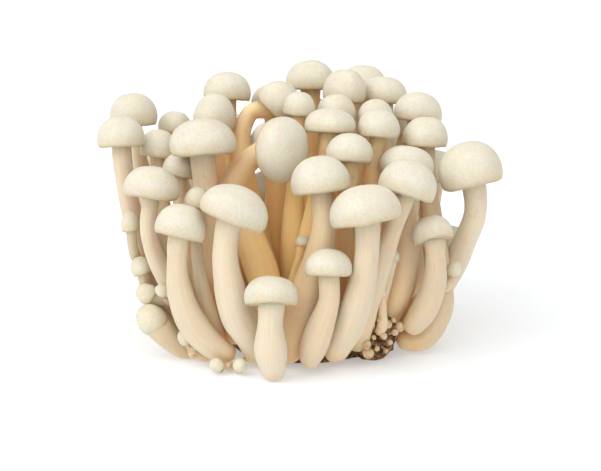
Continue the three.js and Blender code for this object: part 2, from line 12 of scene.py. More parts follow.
import bpy
import numpy as np
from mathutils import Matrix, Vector


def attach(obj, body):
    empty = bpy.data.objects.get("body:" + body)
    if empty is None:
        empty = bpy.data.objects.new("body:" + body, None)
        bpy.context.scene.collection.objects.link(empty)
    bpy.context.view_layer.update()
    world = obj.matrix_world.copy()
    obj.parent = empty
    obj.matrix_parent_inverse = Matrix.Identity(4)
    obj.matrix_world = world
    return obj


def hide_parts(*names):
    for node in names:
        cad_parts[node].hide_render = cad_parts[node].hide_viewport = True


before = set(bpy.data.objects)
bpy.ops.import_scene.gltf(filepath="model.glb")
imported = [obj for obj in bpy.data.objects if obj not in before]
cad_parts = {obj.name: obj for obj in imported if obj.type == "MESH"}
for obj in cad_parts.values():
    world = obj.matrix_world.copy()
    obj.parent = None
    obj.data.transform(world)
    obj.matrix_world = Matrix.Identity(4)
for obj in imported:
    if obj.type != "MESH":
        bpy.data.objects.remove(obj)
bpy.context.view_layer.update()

MM = 0.001

# %% [markdown]
# ## Reading a mushroom from its solid
# Each solid is a stack of rings: the foot, the stem, the gills, the margin and the dome,
# closed by one point at the crown. The crown is the corner where most edges meet. Walking
# outward from it, one edge at a time, meets the rings in order. It is a simple flood
# fill, and it saves writing the whole bunch down a second time.

# %% Read the rings of a solid
CAP_RINGS = 6            # rings of the cap in the solids, counted from the crown
WIDEST, MARGIN = 2, 3    # which of them is the widest, and which lies in the rim's plane


def welded(node):
    """Corners of a CAD solid as an array, each place once, and its edges."""
    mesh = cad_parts[node].data
    places, index, corner = [], {}, []
    for vertex in mesh.vertices:
        key = tuple(round(c / (0.01 * MM)) for c in vertex.co)
        if key not in index:
            index[key] = len(places)
            places.append(vertex.co.copy())
        corner.append(index[key])
    edges = {tuple(sorted((corner[a], corner[b]))) for a, b in (e.vertices for e in mesh.edges)}
    return np.array(places), [e for e in edges if e[0] != e[1]]


def read_mushroom(node):
    """Centreline and radii of the stem, then the cap's rim centre, axis, radius, height."""
    places, edges = welded(node)
    beside = [set() for _ in places]
    for a, b in edges:
        beside[a].add(b)
        beside[b].add(a)
    crown = max(range(len(places)), key=lambda i: len(beside[i]))
    rings, seen, edge = [], {crown}, {crown}
    while edge:
        edge = set().union(*(beside[i] for i in edge)) - seen
        seen |= edge
        if edge:
            rings.append(places[sorted(edge)])
    cap, stem = rings[:CAP_RINGS], rings[CAP_RINGS:-1]
    rim = cap[MARGIN].mean(0)
    axis = places[crown] - rim
    tall = np.linalg.norm(axis)
    radius = np.linalg.norm(cap[WIDEST] - cap[WIDEST].mean(0), axis=1).mean()
    centres = np.array([ring.mean(0) for ring in reversed(stem)])
    widths = np.array([np.linalg.norm(r - r.mean(0), axis=1).mean() for r in reversed(stem)])
    return {"name": node, "line": centres, "thick": widths, "rim": rim,
            "axis": axis / tall, "radius": radius, "tall": tall}


grown = [read_mushroom(n) for n in sorted(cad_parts) if n != "growing_medium"]
widest = max(grown, key=lambda m: m["radius"])
print("mushrooms:", len(grown), "widest cap in mm:", round(2 * widest["radius"] / MM, 1))

# %% [markdown]
# ## Small helpers
# Nothing on a mushroom is exactly round or straight. Sums of a few smooth waves, with
# phases drawn from a seed of the mushroom's own name, bend every form a little and give
# the same bunch on every run. A Hermite spline turns the few rings of the solid into a
# smooth stem. Its slopes come from the real distances between the rings, so that two
# rings close together don't make it swing.

# %% Waves, splines and directions
STEPS_IN_A_GAP = 24      # of a spline, before it is cut into even steps


def waves(chance, sizes):
    """A closed wave around a ring, as a function of the angle: sizes is {turns: height}."""
    parts = [(turns, height, chance.uniform(0, 2 * math.pi)) for turns, height in sizes.items()]
    return lambda angle: sum(h * np.sin(n * angle + shift) for n, h, shift in parts)


def spline(points, count):
    """Even steps along a smooth curve through the rows of points, and their lengths."""
    gaps = np.linalg.norm(np.diff(points[:, :3], axis=0), axis=1)
    knots = np.r_[0, np.cumsum(gaps)]
    slopes = np.gradient(points, knots, axis=0)
    t = np.linspace(0, knots[-1], STEPS_IN_A_GAP * len(gaps) + 1)
    i = np.clip(np.searchsorted(knots, t, side="right") - 1, 0, len(gaps) - 1)
    h = gaps[i][:, None]
    u = (t - knots[i])[:, None] / h
    fine = ((2 * u ** 3 - 3 * u ** 2 + 1) * points[i] + (u ** 3 - 2 * u ** 2 + u) * h * slopes[i]
            + (3 * u ** 2 - 2 * u ** 3) * points[i + 1] + (u ** 3 - u ** 2) * h * slopes[i + 1])
    reach = np.r_[0, np.cumsum(np.linalg.norm(np.diff(fine[:, :3], axis=0), axis=1))]
    even = np.linspace(0, reach[-1], count)
    return np.stack([np.interp(even, reach, column) for column in fine.T], 1), even


def across(axis):
    """Two directions at right angles to an axis, the first as near to +X as it can be."""
    side = np.array([1.0, 0, 0]) - axis * axis[0]
    side /= np.linalg.norm(side)
    return side, np.cross(axis, side)


def stem_frames(centres):
    """Two directions across the stem at each centre, carried down from the neck untwisted."""
    ahead = np.gradient(centres, axis=0)
    ahead /= np.linalg.norm(ahead, axis=1)[:, None]
    side, _ = across(ahead[-1])
    frames = []
    for axis in ahead[::-1]:
        side = side - axis * (side @ axis)
        side /= np.linalg.norm(side)
        frames.append((side, np.cross(axis, side)))
    return frames[::-1]


def smooth(value, low, high):
    """0 below low, 1 above high, and a soft step between."""
    part = np.clip((value - low) / (high - low), 0, 1)
    return part * part * (3 - 2 * part)


print("soft step at a quarter of the way:", smooth(0.25, 0, 1))

# %% [markdown]
# ## The stem
# A shimeji stem is firm and solid, swollen low down and even above, with a slightly
# flattened, fluted section. It could be a curve with a bevel, but then its section would
# stay round. Lofting rings by hand lets the section turn and swell along the way. Each
# ring takes its directions from the ring above it, so the loft doesn't twist even where
# a stem lies flat.

# %% Loft a stem
STEM_SIDES, STEM_STEP, LEAST_RINGS = 32, 1.1 * MM, 14
FOOT_ROUND = 3.0 * MM        # length over which the foot rounds off
FOOT_SINKS, NECK_RISES = 0.35, 0.3    # past the solid's ends, as shares of width and cap
PRESSED = 0.15 * MM          # crowded stems press on each other, so each takes this more
FLUTES = {2: 0.045, 3: 0.028, 5: 0.012, 8: 0.005}    # folds around, and their depth
SWELLS, SWELL_REACH = 4, 0.13         # how many, and each one's share of the length
MOST_TWIST = 1.2             # of the folds from foot to neck, in radians
LOWEST_START = 0.1 * MM      # above the floor
THINNEST = 0.02              # of the foot's tip, as a share of the stem's radius
WRINKLE_DEPTH, WRINKLE_LENGTH = 0.010, 1.7 * MM


def stem_path(mushroom):
    """Points and radii along the stem, from a little under its lowest ring into the cap."""
    line, thick = mushroom["line"], mushroom["thick"] + PRESSED
    down = (line[0] - line[1]) / np.linalg.norm(line[0] - line[1])
    start = line[0] + down * FOOT_SINKS * thick[0]
    start[2] = max(start[2], LOWEST_START)
    inside = mushroom["rim"] + mushroom["axis"] * mushroom["tall"] * NECK_RISES
    points = np.c_[np.vstack([start, line, inside]), np.r_[thick[0], thick, thick[-1]]]
    length = np.linalg.norm(np.diff(points[:, :3], axis=0), axis=1).sum()
    return spline(points, max(int(length / STEM_STEP), LEAST_RINGS))


def stem_rings(mushroom, chance):
    """Rings of the stem from the rounded foot into the cap's flesh, and their lengths."""
    path, reach = stem_path(mushroom)
    centres, radii = path[:, :3], path[:, 3]
    angle = np.linspace(0, 2 * math.pi, STEM_SIDES, endpoint=False)
    flutes = waves(chance, FLUTES)
    twist = chance.uniform(-MOST_TWIST, MOST_TWIST)
    swells = [(chance.uniform(0.1, 0.9), chance.uniform(-0.05, 0.06))
              for _ in range(SWELLS)]
    wrinkle = chance.uniform(0, 6)
    rounding = min(FOOT_ROUND, 0.9 * radii[0])
    rings = []
    for k, (centre, (side, other)) in enumerate(zip(centres, stem_frames(centres))):
        foot = math.sqrt(max(1 - (1 - min(reach[k] / rounding, 1)) ** 2, THINNEST ** 2))
        along = reach[k] / reach[-1]
        belly = 1 + sum(much * math.exp(-((along - where) / SWELL_REACH) ** 2)
                        for where, much in swells)
        ripple = 1 + WRINKLE_DEPTH * math.sin(reach[k] / WRINKLE_LENGTH + wrinkle)
        radius = radii[k] * foot * belly * ripple * (1 + flutes(angle + twist * along))
        rings.append(centre + np.outer(np.cos(angle) * radius, side)
                     + np.outer(np.sin(angle) * radius, other))
    rings = np.array(rings)
    rings[:, :, 2] = np.maximum(rings[:, :, 2], 0)
    return rings, reach


trial, trial_reach = stem_rings(widest, random.Random("trial"))
print("widest one's stem:", len(trial), "rings,", round(trial_reach[-1] / MM, 1), "mm long")

# %% [markdown]
# ## The cap
# A young cap is a soft dome whose margin still rolls in under it. Turning one section
# around the axis would give a lathe shape, the same on every side, so the rim is
# allowed to wave up and down and in and out a little.
#
# ## The gills
# Under the cap, thin gills run from the stem to just inside the margin. Every second
# gill is a short one that stops on the way. They are folds of the cap's underside here:
# three points to a gill, one on its edge and two in the hollow beside it.

# %% Loft a cap with its gills
DOME = np.array([[0.875, 0.035], [0.90, -0.004], [0.945, 0.03], [0.982, 0.12], [1.0, 0.26],
                 [0.985, 0.40], [0.925, 0.56], [0.825, 0.70], [0.66, 0.84], [0.44, 0.945],
                 [0.21, 0.99], [0.0, 1.0]])
DOME_RINGS, GILL_RINGS = 22, 9
POINTS_TO_A_GILL = 3
GILL_DEPTH = 0.085           # of the cap's radius
GILLS, YOUNG_GILLS, YOUNG_RADIUS = 40, 22, 4.5 * MM
UNDER_START = 0.72           # the underside starts inside the stem, at this share of it
UNDER_END = 0.87             # where it meets the margin, of the cap's radius
UNDERSIDE = [0.02, 0.10, 0.07, 0.04]  # its height on the way, of the cap's height
FADE_IN, FADE_OUT = 0.12, 0.11        # over which gills rise at the stem and end at the rim
SHORT_FROM, SHORT_FULL = 0.52, 0.66   # a short gill rises between these
LUMPY = 2.2                  # how much more uneven a lumpy bud is
HOLLOWS, HOLLOW_SPREAD = 5, 0.12      # soft dents and swellings of the dome
OUT_WAVE = {1: 0.01, 2: 0.02, 3: 0.014, 5: 0.006, 9: 0.003}
RIM_WAVE = {2: 0.024, 3: 0.016, 4: 0.010, 7: 0.006}


def cap_shape(mushroom, chance, gills):
    """Rings from the middle of the underside out to the margin and over the dome."""
    around = gills * POINTS_TO_A_GILL
    angle = np.linspace(0, 2 * math.pi, around, endpoint=False)
    radius, tall = mushroom["radius"], mushroom["tall"]
    side, other = across(mushroom["axis"])
    lumpy = LUMPY if "lumpy" in mushroom["name"] else 1.0
    out_wave = lumpy * waves(chance, OUT_WAVE)(angle)
    rim_wave = waves(chance, RIM_WAVE)(angle)
    dent = lumpy * chance.uniform(-0.02, 0.02)
    hollows = [(chance.uniform(0, 2 * math.pi), chance.uniform(0.3, 0.9),
                lumpy * chance.uniform(-0.025, 0.02)) for _ in range(HOLLOWS)]
    place = np.arange(around)
    fold = np.where(place % POINTS_TO_A_GILL == 0, -1.0, 0.5)
    short = (place // POINTS_TO_A_GILL) % 2 == 1
    inner = UNDER_START * mushroom["thick"][-1] / radius
    rings = []
    for out in np.linspace(inner, UNDER_END, GILL_RINGS):
        ceiling = np.interp(out, [inner, 0.5, 0.8, UNDER_END], UNDERSIDE)
        deep = (GILL_DEPTH * smooth(out, inner, inner + FADE_IN)
                * (1 - smooth(out, UNDER_END - FADE_OUT, UNDER_END)))
        reach = np.where(short, smooth(out, SHORT_FROM, SHORT_FULL), 1.0)
        up = ceiling * tall + deep * radius * fold * reach
        rings.append((out * (1 + out_wave) * radius, up + rim_wave * radius * out ** 3))
    section, _ = spline(np.c_[DOME, np.zeros(len(DOME))], DOME_RINGS)
    for out, up, _ in section[:-1]:
        near_rim = 1 - smooth(up, 0.0, 0.75)
        top = up + dent * math.exp(-(out / 0.4) ** 2)
        soft = sum(much * np.exp(-((out * np.cos(angle) - far * math.cos(turn)) ** 2
                                   + (out * np.sin(angle) - far * math.sin(turn)) ** 2)
                                 / HOLLOW_SPREAD)
                   for turn, far, much in hollows)
        rings.append((out * (1 + out_wave * (0.4 + 0.6 * near_rim) + soft) * radius,
                      (top + soft * (1 - near_rim)) * tall
                      + rim_wave * radius * near_rim * out ** 2))
    ringed = np.array([mushroom["rim"] + np.outer(np.cos(angle) * r, side)
                       + np.outer(np.sin(angle) * r, other) + np.outer(u, mushroom["axis"])
                       for r, u in rings])
    crown = mushroom["rim"] + mushroom["axis"] * tall * (1 + dent)
    return ringed, crown


trial, _ = cap_shape(widest, random.Random("trial"), GILLS)
print("widest one's cap:", trial.shape[0], "rings of", trial.shape[1], "points")

# %% [markdown]
# ## One mesh for each mushroom
# Stem and cap go into one mesh with three finishes: skin, stem and gills. A mesh can
# carry its own numbers for the material to read. Three are stored here. "grain" runs
# round and along the stem, so that fibres can be drawn along it however it bends.
# "height" says how far up the stem or the cap a point lies. "tone" is one number for
# each mushroom, because some stems are whiter than others.

# %% Faces between rings
def ring_faces(start, rings, sides):
    """Quads between rings of points that are numbered from start."""
    faces = []
    for r in range(rings - 1):
        for s in range(sides):
            low, high = start + r * sides, start + (r + 1) * sides
            t = (s + 1) % sides
            faces.append((low + s, low + t, high + t, high + s))
    return faces


print("faces between two rings of a stem:", len(ring_faces(0, 2, STEM_SIDES)))

# %% Put a mushroom together
SKIN, STEM, GILL = 0, 1, 2   # places of the finishes in the mesh's list
GRAIN_UNIT = 10 * MM         # length of stem over which "grain" grows by one


def grow_mushroom(mushroom):
    """The fine mesh that stands for one solid of the bunch."""
    chance = random.Random(mushroom["name"])
    gills = GILLS if mushroom["radius"] > YOUNG_RADIUS else YOUNG_GILLS
    stem, reach = stem_rings(mushroom, chance)
    cap, crown = cap_shape(mushroom, chance, gills)
    around = cap.shape[1]
    places = np.vstack([stem.reshape(-1, 3), cap.reshape(-1, 3), [stem[0].mean(0), crown]])
    base = stem.shape[0] * STEM_SIDES
    foot, top = len(places) - 2, len(places) - 1
    faces = ring_faces(0, stem.shape[0], STEM_SIDES)
    faces += [(foot, (s + 1) % STEM_SIDES, s) for s in range(STEM_SIDES)]
    looks = [STEM] * len(faces)
    under = ring_faces(base, GILL_RINGS, around)
    over = ring_faces(base + (GILL_RINGS - 1) * around, cap.shape[0] - GILL_RINGS + 1, around)
    last = base + (cap.shape[0] - 1) * around
    over += [(top, last + s, last + (s + 1) % around) for s in range(around)]
    faces += under + over
    looks += [GILL] * len(under) + [SKIN] * len(over)
    mesh = bpy.data.meshes.new(mushroom["name"] + "_flesh")
    mesh.from_pydata(places.tolist(), [], faces)
    mesh.polygons.foreach_set("material_index", looks)
    mesh.polygons.foreach_set("use_smooth", [True] * len(faces))
    angle = np.linspace(0, 2 * math.pi, STEM_SIDES, endpoint=False)
    grain = np.zeros_like(places)
    round_it = np.stack([np.cos(angle), np.sin(angle)], 1)
    for k, far in enumerate(reach):
        grain[k * STEM_SIDES:(k + 1) * STEM_SIDES, :2] = round_it
        grain[k * STEM_SIDES:(k + 1) * STEM_SIDES, 2] = far / GRAIN_UNIT
    grain[:, :2] += [chance.uniform(0, 50), chance.uniform(0, 50)]
    tone = np.full(len(places), chance.random())
    height = np.ones(len(places))
    height[:base] = np.repeat(reach / reach[-1], STEM_SIDES)
    height[base:-2] = (places[base:-2] - mushroom["rim"]) @ mushroom["axis"] / mushroom["tall"]
    mesh.attributes.new("grain", "FLOAT_VECTOR", "POINT").data.foreach_set("vector", grain.ravel())
    mesh.attributes.new("height", "FLOAT", "POINT").data.foreach_set("value", height)
    mesh.attributes.new("tone", "FLOAT", "POINT").data.foreach_set("value", tone)
    mesh.validate()
    piece = bpy.data.objects.new(mesh.name, mesh)
    bpy.context.scene.collection.objects.link(piece)
    return piece


print("finishes on a mushroom:", len({SKIN, STEM, GILL}))

# %% [markdown]
# ## Flesh and skin
# Mushroom flesh is white but lets light in: it comes back out a little further on,
# and warmer, because blue is lost first. That is subsurface scattering. With painted shade
# in the stems' colour, it makes the crowded stems glow orange deep in the bunch while the
# open caps stay nearly white.
# How far the light travels has to suit the piece: in a bud of a few millimetres it would
# leave on the other side, so the young ones get finishes of their own.
#
# Every finish is a Principled shader, with noise nodes for what changes over the surface.
# Painted pictures would do too, but noise needs no unwrapping. The three helpers here
# add a node with its settings, a colour ramp and a mix.

# %% A small kit for materials
def material(name, **values):
    """A new node material and a helper that adds and joins its nodes."""
    made = bpy.data.materials.new(name)
    made.use_nodes = True
    tree = made.node_tree
    shader = tree.nodes["Principled BSDF"]
    for socket, value in values.items():
        shader.inputs[socket.replace("_", " ")].default_value = value

    def node(kind, links=(), **settings):
        new = tree.nodes.new("ShaderNode" + kind)
        for key, value in settings.items():
            if hasattr(new, key):
                setattr(new, key, value)
            else:
                new.inputs[key.replace("_", " ")].default_value = value
        for socket, source in dict(links).items():
            tree.links.new(source, new.inputs[socket])
        return new

    return made, shader, node, tree.links.new


def ramp(node, source, *stops):
    """A colour ramp with the given (place, colour) stops."""
    new = node("ValToRGB", {"Fac": source})
    marks = new.color_ramp.elements
    while len(marks) < len(stops):
        marks.new(0.5)
    for mark, (place, colour) in zip(marks, stops):
        mark.position, mark.color = place, (*colour, 1)
    return new.outputs["Color"]


def blend(node, share, low, high, mode="MIX"):
    """Two colours mixed, each a socket or a plain colour."""
    new = node("Mix", data_type="RGBA", blend_type=mode)
    tree = new.id_data
    for socket, value in ((0, share), (6, low), (7, high)):
        if isinstance(value, bpy.types.NodeSocket):
            tree.links.new(value, new.inputs[socket])
        else:
            new.inputs[socket].default_value = value if socket == 0 else (*value, 1)
    return new.outputs[2]


print("materials in the file so far:", len(bpy.data.materials))

# %% [markdown]
# ## The cap's skin
# Seen close, the skin is ivory with faint watery marbling and a trace of yellow at the crown.
# Painted shade makes its lower side warmer and darker toward the rim. A wide noise gives
# the marbling and a fine one the pores.
# Their scales are in turns per metre, because the bunch is modelled in metres.

# %% Cap skin
IVORY, WATERY, CROWN_TINT = (0.78, 0.755, 0.67), (0.75, 0.705, 0.59), (0.765, 0.72, 0.60)
YOUNG_IVORY = (0.80, 0.74, 0.57)
# Painted shade: the cap's lower side turns warmer and darker toward the rim.
RIM_SHADE, LOW_SIDE_SHADE = (0.84, 0.74, 0.58), (0.94, 0.90, 0.82)
PORE, BRIGHTEST_CROWN = (0.95, 0.935, 0.90), (0.55, 0.55, 0.55)
MARBLING_SCALE, PORE_SCALE = 260.0, 1300.0
GLOW = (1.0, 0.36, 0.11)     # how much further red light travels in flesh than blue
IN_GROWN, IN_YOUNG = 1.0 * MM, 0.2 * MM    # how far red travels in caps
BLACK, WHITE = (0, 0, 0), (1, 1, 1)


def cap_skin(name, travel, ivory=IVORY):
    """Skin of a cap, where red light travels this far."""
    made, shader, node, link = material(
        name, Roughness=0.5, Subsurface_Weight=0.5, Subsurface_Radius=GLOW,
        Subsurface_Scale=travel, Specular_IOR_Level=0.32)
    place = node("TexCoord").outputs["Object"]
    patches = node("TexNoise", {"Vector": place}, Scale=MARBLING_SCALE, Detail=5.0,
                   Roughness=0.62)
    cloud = ramp(node, patches.outputs["Fac"], (0.36, BLACK), (0.68, WHITE))
    height = node("Attribute", attribute_name="height").outputs["Fac"]
    crown = ramp(node, height, (0.72, BLACK), (1.0, BRIGHTEST_CROWN))
    marbled = blend(node, cloud, WATERY, ivory)
    tinted = blend(node, crown, marbled, blend(node, cloud, CROWN_TINT, ivory))
    # Painted shade: darker and warmer from halfway down the cap to its rim.
    edge = ramp(node, height, (0.0, RIM_SHADE), (0.14, LOW_SIDE_SHADE), (0.45, WHITE))
    fine = node("TexNoise", {"Vector": place}, Scale=PORE_SCALE, Detail=3.0)
    pores = ramp(node, fine.outputs["Fac"], (0.36, PORE), (0.58, WHITE))
    even = blend(node, 1.0, tinted, edge, "MULTIPLY")
    link(blend(node, 1.0, even, pores, "MULTIPLY"), shader.inputs["Base Color"])
    rise = node("Math", {0: patches.outputs["Fac"], 1: fine.outputs["Fac"]}, operation="ADD")
    bump = node("Bump", {"Height": rise.outputs[0]}, Strength=0.35, Distance=0.05 * MM)
    link(bump.outputs["Normal"], shader.inputs["Normal"])
    return made


grown_skin = cap_skin("cap_skin", IN_GROWN)
young_skin = cap_skin("young_skin", IN_YOUNG, YOUNG_IVORY)
print("skins:", grown_skin.name, young_skin.name)

# %% [markdown]
# ## The stem's fibres
# Stems are creamier than caps, and some are whiter than others. Fine fibres run along
# them. In the crowded core of the bunch, painted shade turns them a warm orange, the colour
# of light bounced between the stems: the distance from the middle of the foot, stretched to
# the shape of the core, says how far. Handling leaves pale brown bruises by the neck. The
# foot is browner, partly stained by the medium and partly painted shade near the floor.

# %% Stem flesh
# Each pair is the colour between the fibres and on them.
WHITE_STEM = (0.73, 0.635, 0.48), (0.77, 0.71, 0.59)
CREAM_STEM = (0.69, 0.53, 0.34), (0.71, 0.61, 0.45)
# The core's warm orange is painted shade, for light bounced between the crowded stems.
CORE_SHADE_STEM = (0.99, 0.65, 0.30), (1.0, 0.73, 0.39)
# The foot's brown is partly a stain from the medium and partly painted shade near the floor.
BRUISE, FOOT_STAIN_AND_SHADE = (0.50, 0.31, 0.16), (0.58, 0.36, 0.17)
CORE_SHADE_SIZE = (48 * MM, 46 * MM, 100 * MM)
FIBRES = (7.0, 7.0, 0.55)    # squeezes the noise round the stem and draws it out along it
FIBRE_SCALE, BRUISE_SCALE = 1.6, 330.0
BRUISE_SHARE, STAIN_AND_SHADE_SHARE = (0.35, 0.35, 0.35), (0.62, 0.62, 0.62)
GROWN_STEM, YOUNG_STEM = 4.5 * MM, 0.4 * MM      # how far red travels in stems


def stem_flesh(name, travel):
    """Flesh of a stem, where red light travels this far."""
    made, shader, node, link = material(
        name, Roughness=0.55, Subsurface_Weight=0.85, Subsurface_Radius=GLOW,
        Subsurface_Scale=travel, Specular_IOR_Level=0.3)
    grain = node("Attribute", attribute_name="grain").outputs["Vector"]
    along = node("VectorMath", {0: grain}, operation="MULTIPLY")
    along.inputs[1].default_value = FIBRES
    fibres = node("TexNoise", {"Vector": along.outputs[0]}, Scale=FIBRE_SCALE, Detail=6.0,
                  Roughness=0.7)
    strands = ramp(node, fibres.outputs["Fac"], (0.34, BLACK), (0.66, WHITE))
    place = node("TexCoord").outputs["Object"]
    deep = node("VectorMath", {0: place}, operation="MULTIPLY")
    deep.inputs[1].default_value = [1 / size for size in CORE_SHADE_SIZE]
    far = node("VectorMath", {0: deep.outputs[0]}, operation="LENGTH")
    # Painted shade: stems turn orange toward the middle of the bunch.
    core_shade = ramp(node, far.outputs["Value"], (0.60, WHITE), (0.90, BLACK))
    tone = node("Attribute", attribute_name="tone").outputs["Fac"]
    clean = blend(node, tone, blend(node, strands, *WHITE_STEM),
                  blend(node, strands, *CREAM_STEM))
    flesh = blend(node, core_shade, clean, blend(node, strands, *CORE_SHADE_STEM))
    spots = node("TexNoise", {"Vector": place}, Scale=BRUISE_SCALE, Detail=4.0, Roughness=0.6)
    height = node("Attribute", attribute_name="height").outputs["Fac"]
    neck = ramp(node, height, (0.55, BLACK), (0.85, WHITE))
    marks = ramp(node, spots.outputs["Fac"], (0.60, BLACK), (0.74, BRUISE_SHARE))
    marked = blend(node, blend(node, 1.0, neck, marks, "MULTIPLY"), flesh, BRUISE)
    # Browner toward the foot: partly a stain from the medium, partly painted shade near the floor.
    foot = ramp(node, height, (0.02, STAIN_AND_SHADE_SHARE), (0.16, BLACK))
    stained_and_shaded = blend(node, 1.0, foot, spots.outputs["Fac"], "MULTIPLY")
    link(blend(node, stained_and_shaded, marked, FOOT_STAIN_AND_SHADE), shader.inputs["Base Color"])
    bump = node("Bump", {"Height": fibres.outputs["Fac"]}, Strength=0.5, Distance=0.12 * MM)
    link(bump.outputs["Normal"], shader.inputs["Normal"])
    return made


grown_stem = stem_flesh("stem_flesh", GROWN_STEM)
young_stem = stem_flesh("young_stem", YOUNG_STEM)
print("stems:", grown_stem.name, young_stem.name)

# %% [markdown]
# ## The gills' flesh
# The gills are the same flesh, thin and close together. Their colour is painted warmer and
# darker, as shade between the close gills under the cap. They are hardly seen from the
# front. A warmer colour with one soft noise is enough for them.

# %% Gill flesh
# Both gill colours hold painted shade: warmer and darker than the flesh itself.
GILL_SHADE, GILL_CREAM = (0.74, 0.57, 0.36), (0.80, 0.67, 0.48)
IN_GILLS, GILL_SCALE = 0.6 * MM, 420.0


def gill_flesh():
    """Flesh of the gills."""
    made, shader, node, link = material(
        "gill_flesh", Roughness=0.65, Subsurface_Weight=0.5, Subsurface_Radius=GLOW,
        Subsurface_Scale=IN_GILLS, Specular_IOR_Level=0.25)
    place = node("TexCoord").outputs["Object"]
    noise = node("TexNoise", {"Vector": place}, Scale=GILL_SCALE, Detail=4.0)
    colour = ramp(node, noise.outputs["Fac"], (0.35, GILL_SHADE), (0.7, GILL_CREAM))
    link(colour, shader.inputs["Base Color"])
    bump = node("Bump", {"Height": noise.outputs["Fac"]}, Strength=0.3, Distance=0.05 * MM)
    link(bump.outputs["Normal"], shader.inputs["Normal"])
    return made


gill_finish = gill_flesh()
print("gills:", gill_finish.name)

# %% [markdown]
# ## The whole bunch
# Everything is ready, so one loop grows each mushroom on its solid. A crowded bunch could
# be made from a few mushrooms that are copied and turned, but no two of them are alike in
# nature. Each gets a shape of its own here, and rides on the part's only body.

# %% Grow every mushroom
GROWN = [grown_skin, grown_stem, gill_finish]
YOUNG = [young_skin, young_stem, gill_finish]
triangles = 0
for mushroom in grown:
    piece = grow_mushroom(mushroom)
    for finish in YOUNG if mushroom["name"].startswith(("young", "bud")) else GROWN:
        piece.data.materials.append(finish)
    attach(piece, "root")
    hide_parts(mushroom["name"])
    piece.data.calc_loop_triangles()
    triangles += len(piece.data.loop_triangles)
print("fine mushrooms:", len(grown), "triangles:", triangles)

# %% [markdown]
# ## The growing medium
# The plug is damp, packed sawdust and bran. Its solid already has the right outline and
# the sockets of the feet, so a voxel remesh gives it an even fine skin, and noise moves
# that skin in and out until it crumbles.

# %% Crumble the medium
CRUMB_VOXEL = 0.7 * MM
CRUMBS = ((5.0, 0.35), (2.4, 0.3), (1.3, 0.22))      # size and height in millimetres
WAVES_TO_A_SIZE, CRUMB_GAIN = 5, 1.6                 # the waves partly cancel, hence a gain
SHRINK = 0.1                                         # millimetres in, to make room for crumbs
FLAT_FOOT = 0.9 * MM                                 # below this the plug stays flat


def crumbled_medium():
    """A crumbly copy of the plug's solid."""
    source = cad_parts["growing_medium"]
    mesh = source.data.copy()
    mesh.name = "medium_crumbs"
    mesh.materials.clear()
    piece = bpy.data.objects.new("medium_crumbs", mesh)
    bpy.context.scene.collection.objects.link(piece)
    remesh = piece.modifiers.new("even_skin", "REMESH")
    remesh.mode, remesh.voxel_size = "VOXEL", CRUMB_VOXEL
    dense = bpy.data.meshes.new_from_object(
        piece.evaluated_get(bpy.context.evaluated_depsgraph_get()))
    piece.modifiers.clear()
    piece.data = dense
    dense.name = "medium_crumbs"
    count = len(dense.vertices)
    places, normals = np.zeros(count * 3), np.zeros(count * 3)
    dense.vertices.foreach_get("co", places)
    dense.vertices.foreach_get("normal", normals)
    places, normals = places.reshape(-1, 3), normals.reshape(-1, 3)
    chance = np.random.default_rng(7)
    push = np.zeros(count)
    for size, height in CRUMBS:
        for _ in range(WAVES_TO_A_SIZE):
            way = chance.normal(size=3)
            way *= 2 * math.pi / (size * MM) / np.linalg.norm(way)
            wave = np.sin(places @ way + chance.uniform(0, 6.3))
            push += height / WAVES_TO_A_SIZE * CRUMB_GAIN * wave
    flat = places[:, 2] < FLAT_FOOT
    push = np.where(flat, 0, push - SHRINK) * MM
    places += normals * push[:, None]
    places[:, 2] = np.maximum(places[:, 2], 0)
    dense.vertices.foreach_set("co", places.ravel())
    dense.polygons.foreach_set("use_smooth", [True] * len(dense.polygons))
    dense.update()
    return piece


medium = crumbled_medium()
print("medium faces:", len(medium.data.polygons))

# %% [markdown]
# ## Sawdust
# Each grain of sawdust has its own brown. A Voronoi texture gives a cell to each grain,
# and a ramp turns the cells' random colours into browns. A rough noise darkens damp spots.

# %% Finish of the medium
DAMP_HUSK, HUSK, DRY_HUSK = (0.09, 0.04, 0.015), (0.30, 0.15, 0.06), (0.56, 0.37, 0.19)
DAMP = (0.28, 0.22, 0.18)    # darkens where the medium is wet
GRAIN_SCALE, DAMP_SCALE = 900.0, 420.0


def medium_finish():
    """Damp sawdust: grains of many browns with wet patches."""
    made, shader, node, link = material(
        "growing_medium", Roughness=0.9, Subsurface_Weight=0.0, Specular_IOR_Level=0.25)
    place = node("TexCoord").outputs["Object"]
    grains = node("TexVoronoi", {"Vector": place}, Scale=GRAIN_SCALE)
    mottle = node("TexNoise", {"Vector": place}, Scale=DAMP_SCALE, Detail=6.0, Roughness=0.7)
    husk = ramp(node, grains.outputs["Color"], (0.15, DAMP_HUSK), (0.55, HUSK),
                (0.9, DRY_HUSK))
    damp = ramp(node, mottle.outputs["Fac"], (0.35, DAMP), (0.62, WHITE))
    link(blend(node, 1.0, husk, damp, "MULTIPLY"), shader.inputs["Base Color"])
    rise = node("Math", {0: grains.outputs["Distance"], 1: mottle.outputs["Fac"]}, operation="ADD")
    bump = node("Bump", {"Height": rise.outputs[0]}, Strength=0.9, Distance=0.4 * MM)
    link(bump.outputs["Normal"], shader.inputs["Normal"])
    return made


medium.data.materials.append(medium_finish())
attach(medium, "root")
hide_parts("growing_medium")
print("medium finish:", medium.data.materials[0].name)

# %% [markdown]
# ## Pins
# Pins are the youngest shimeji: round heads of a few millimetres on thin stalks, in
# tufts where the medium is bare. Each one is a thin stalk that bends a little on its way
# from the lump that feeds it, and a ball on top, lofted in one go.

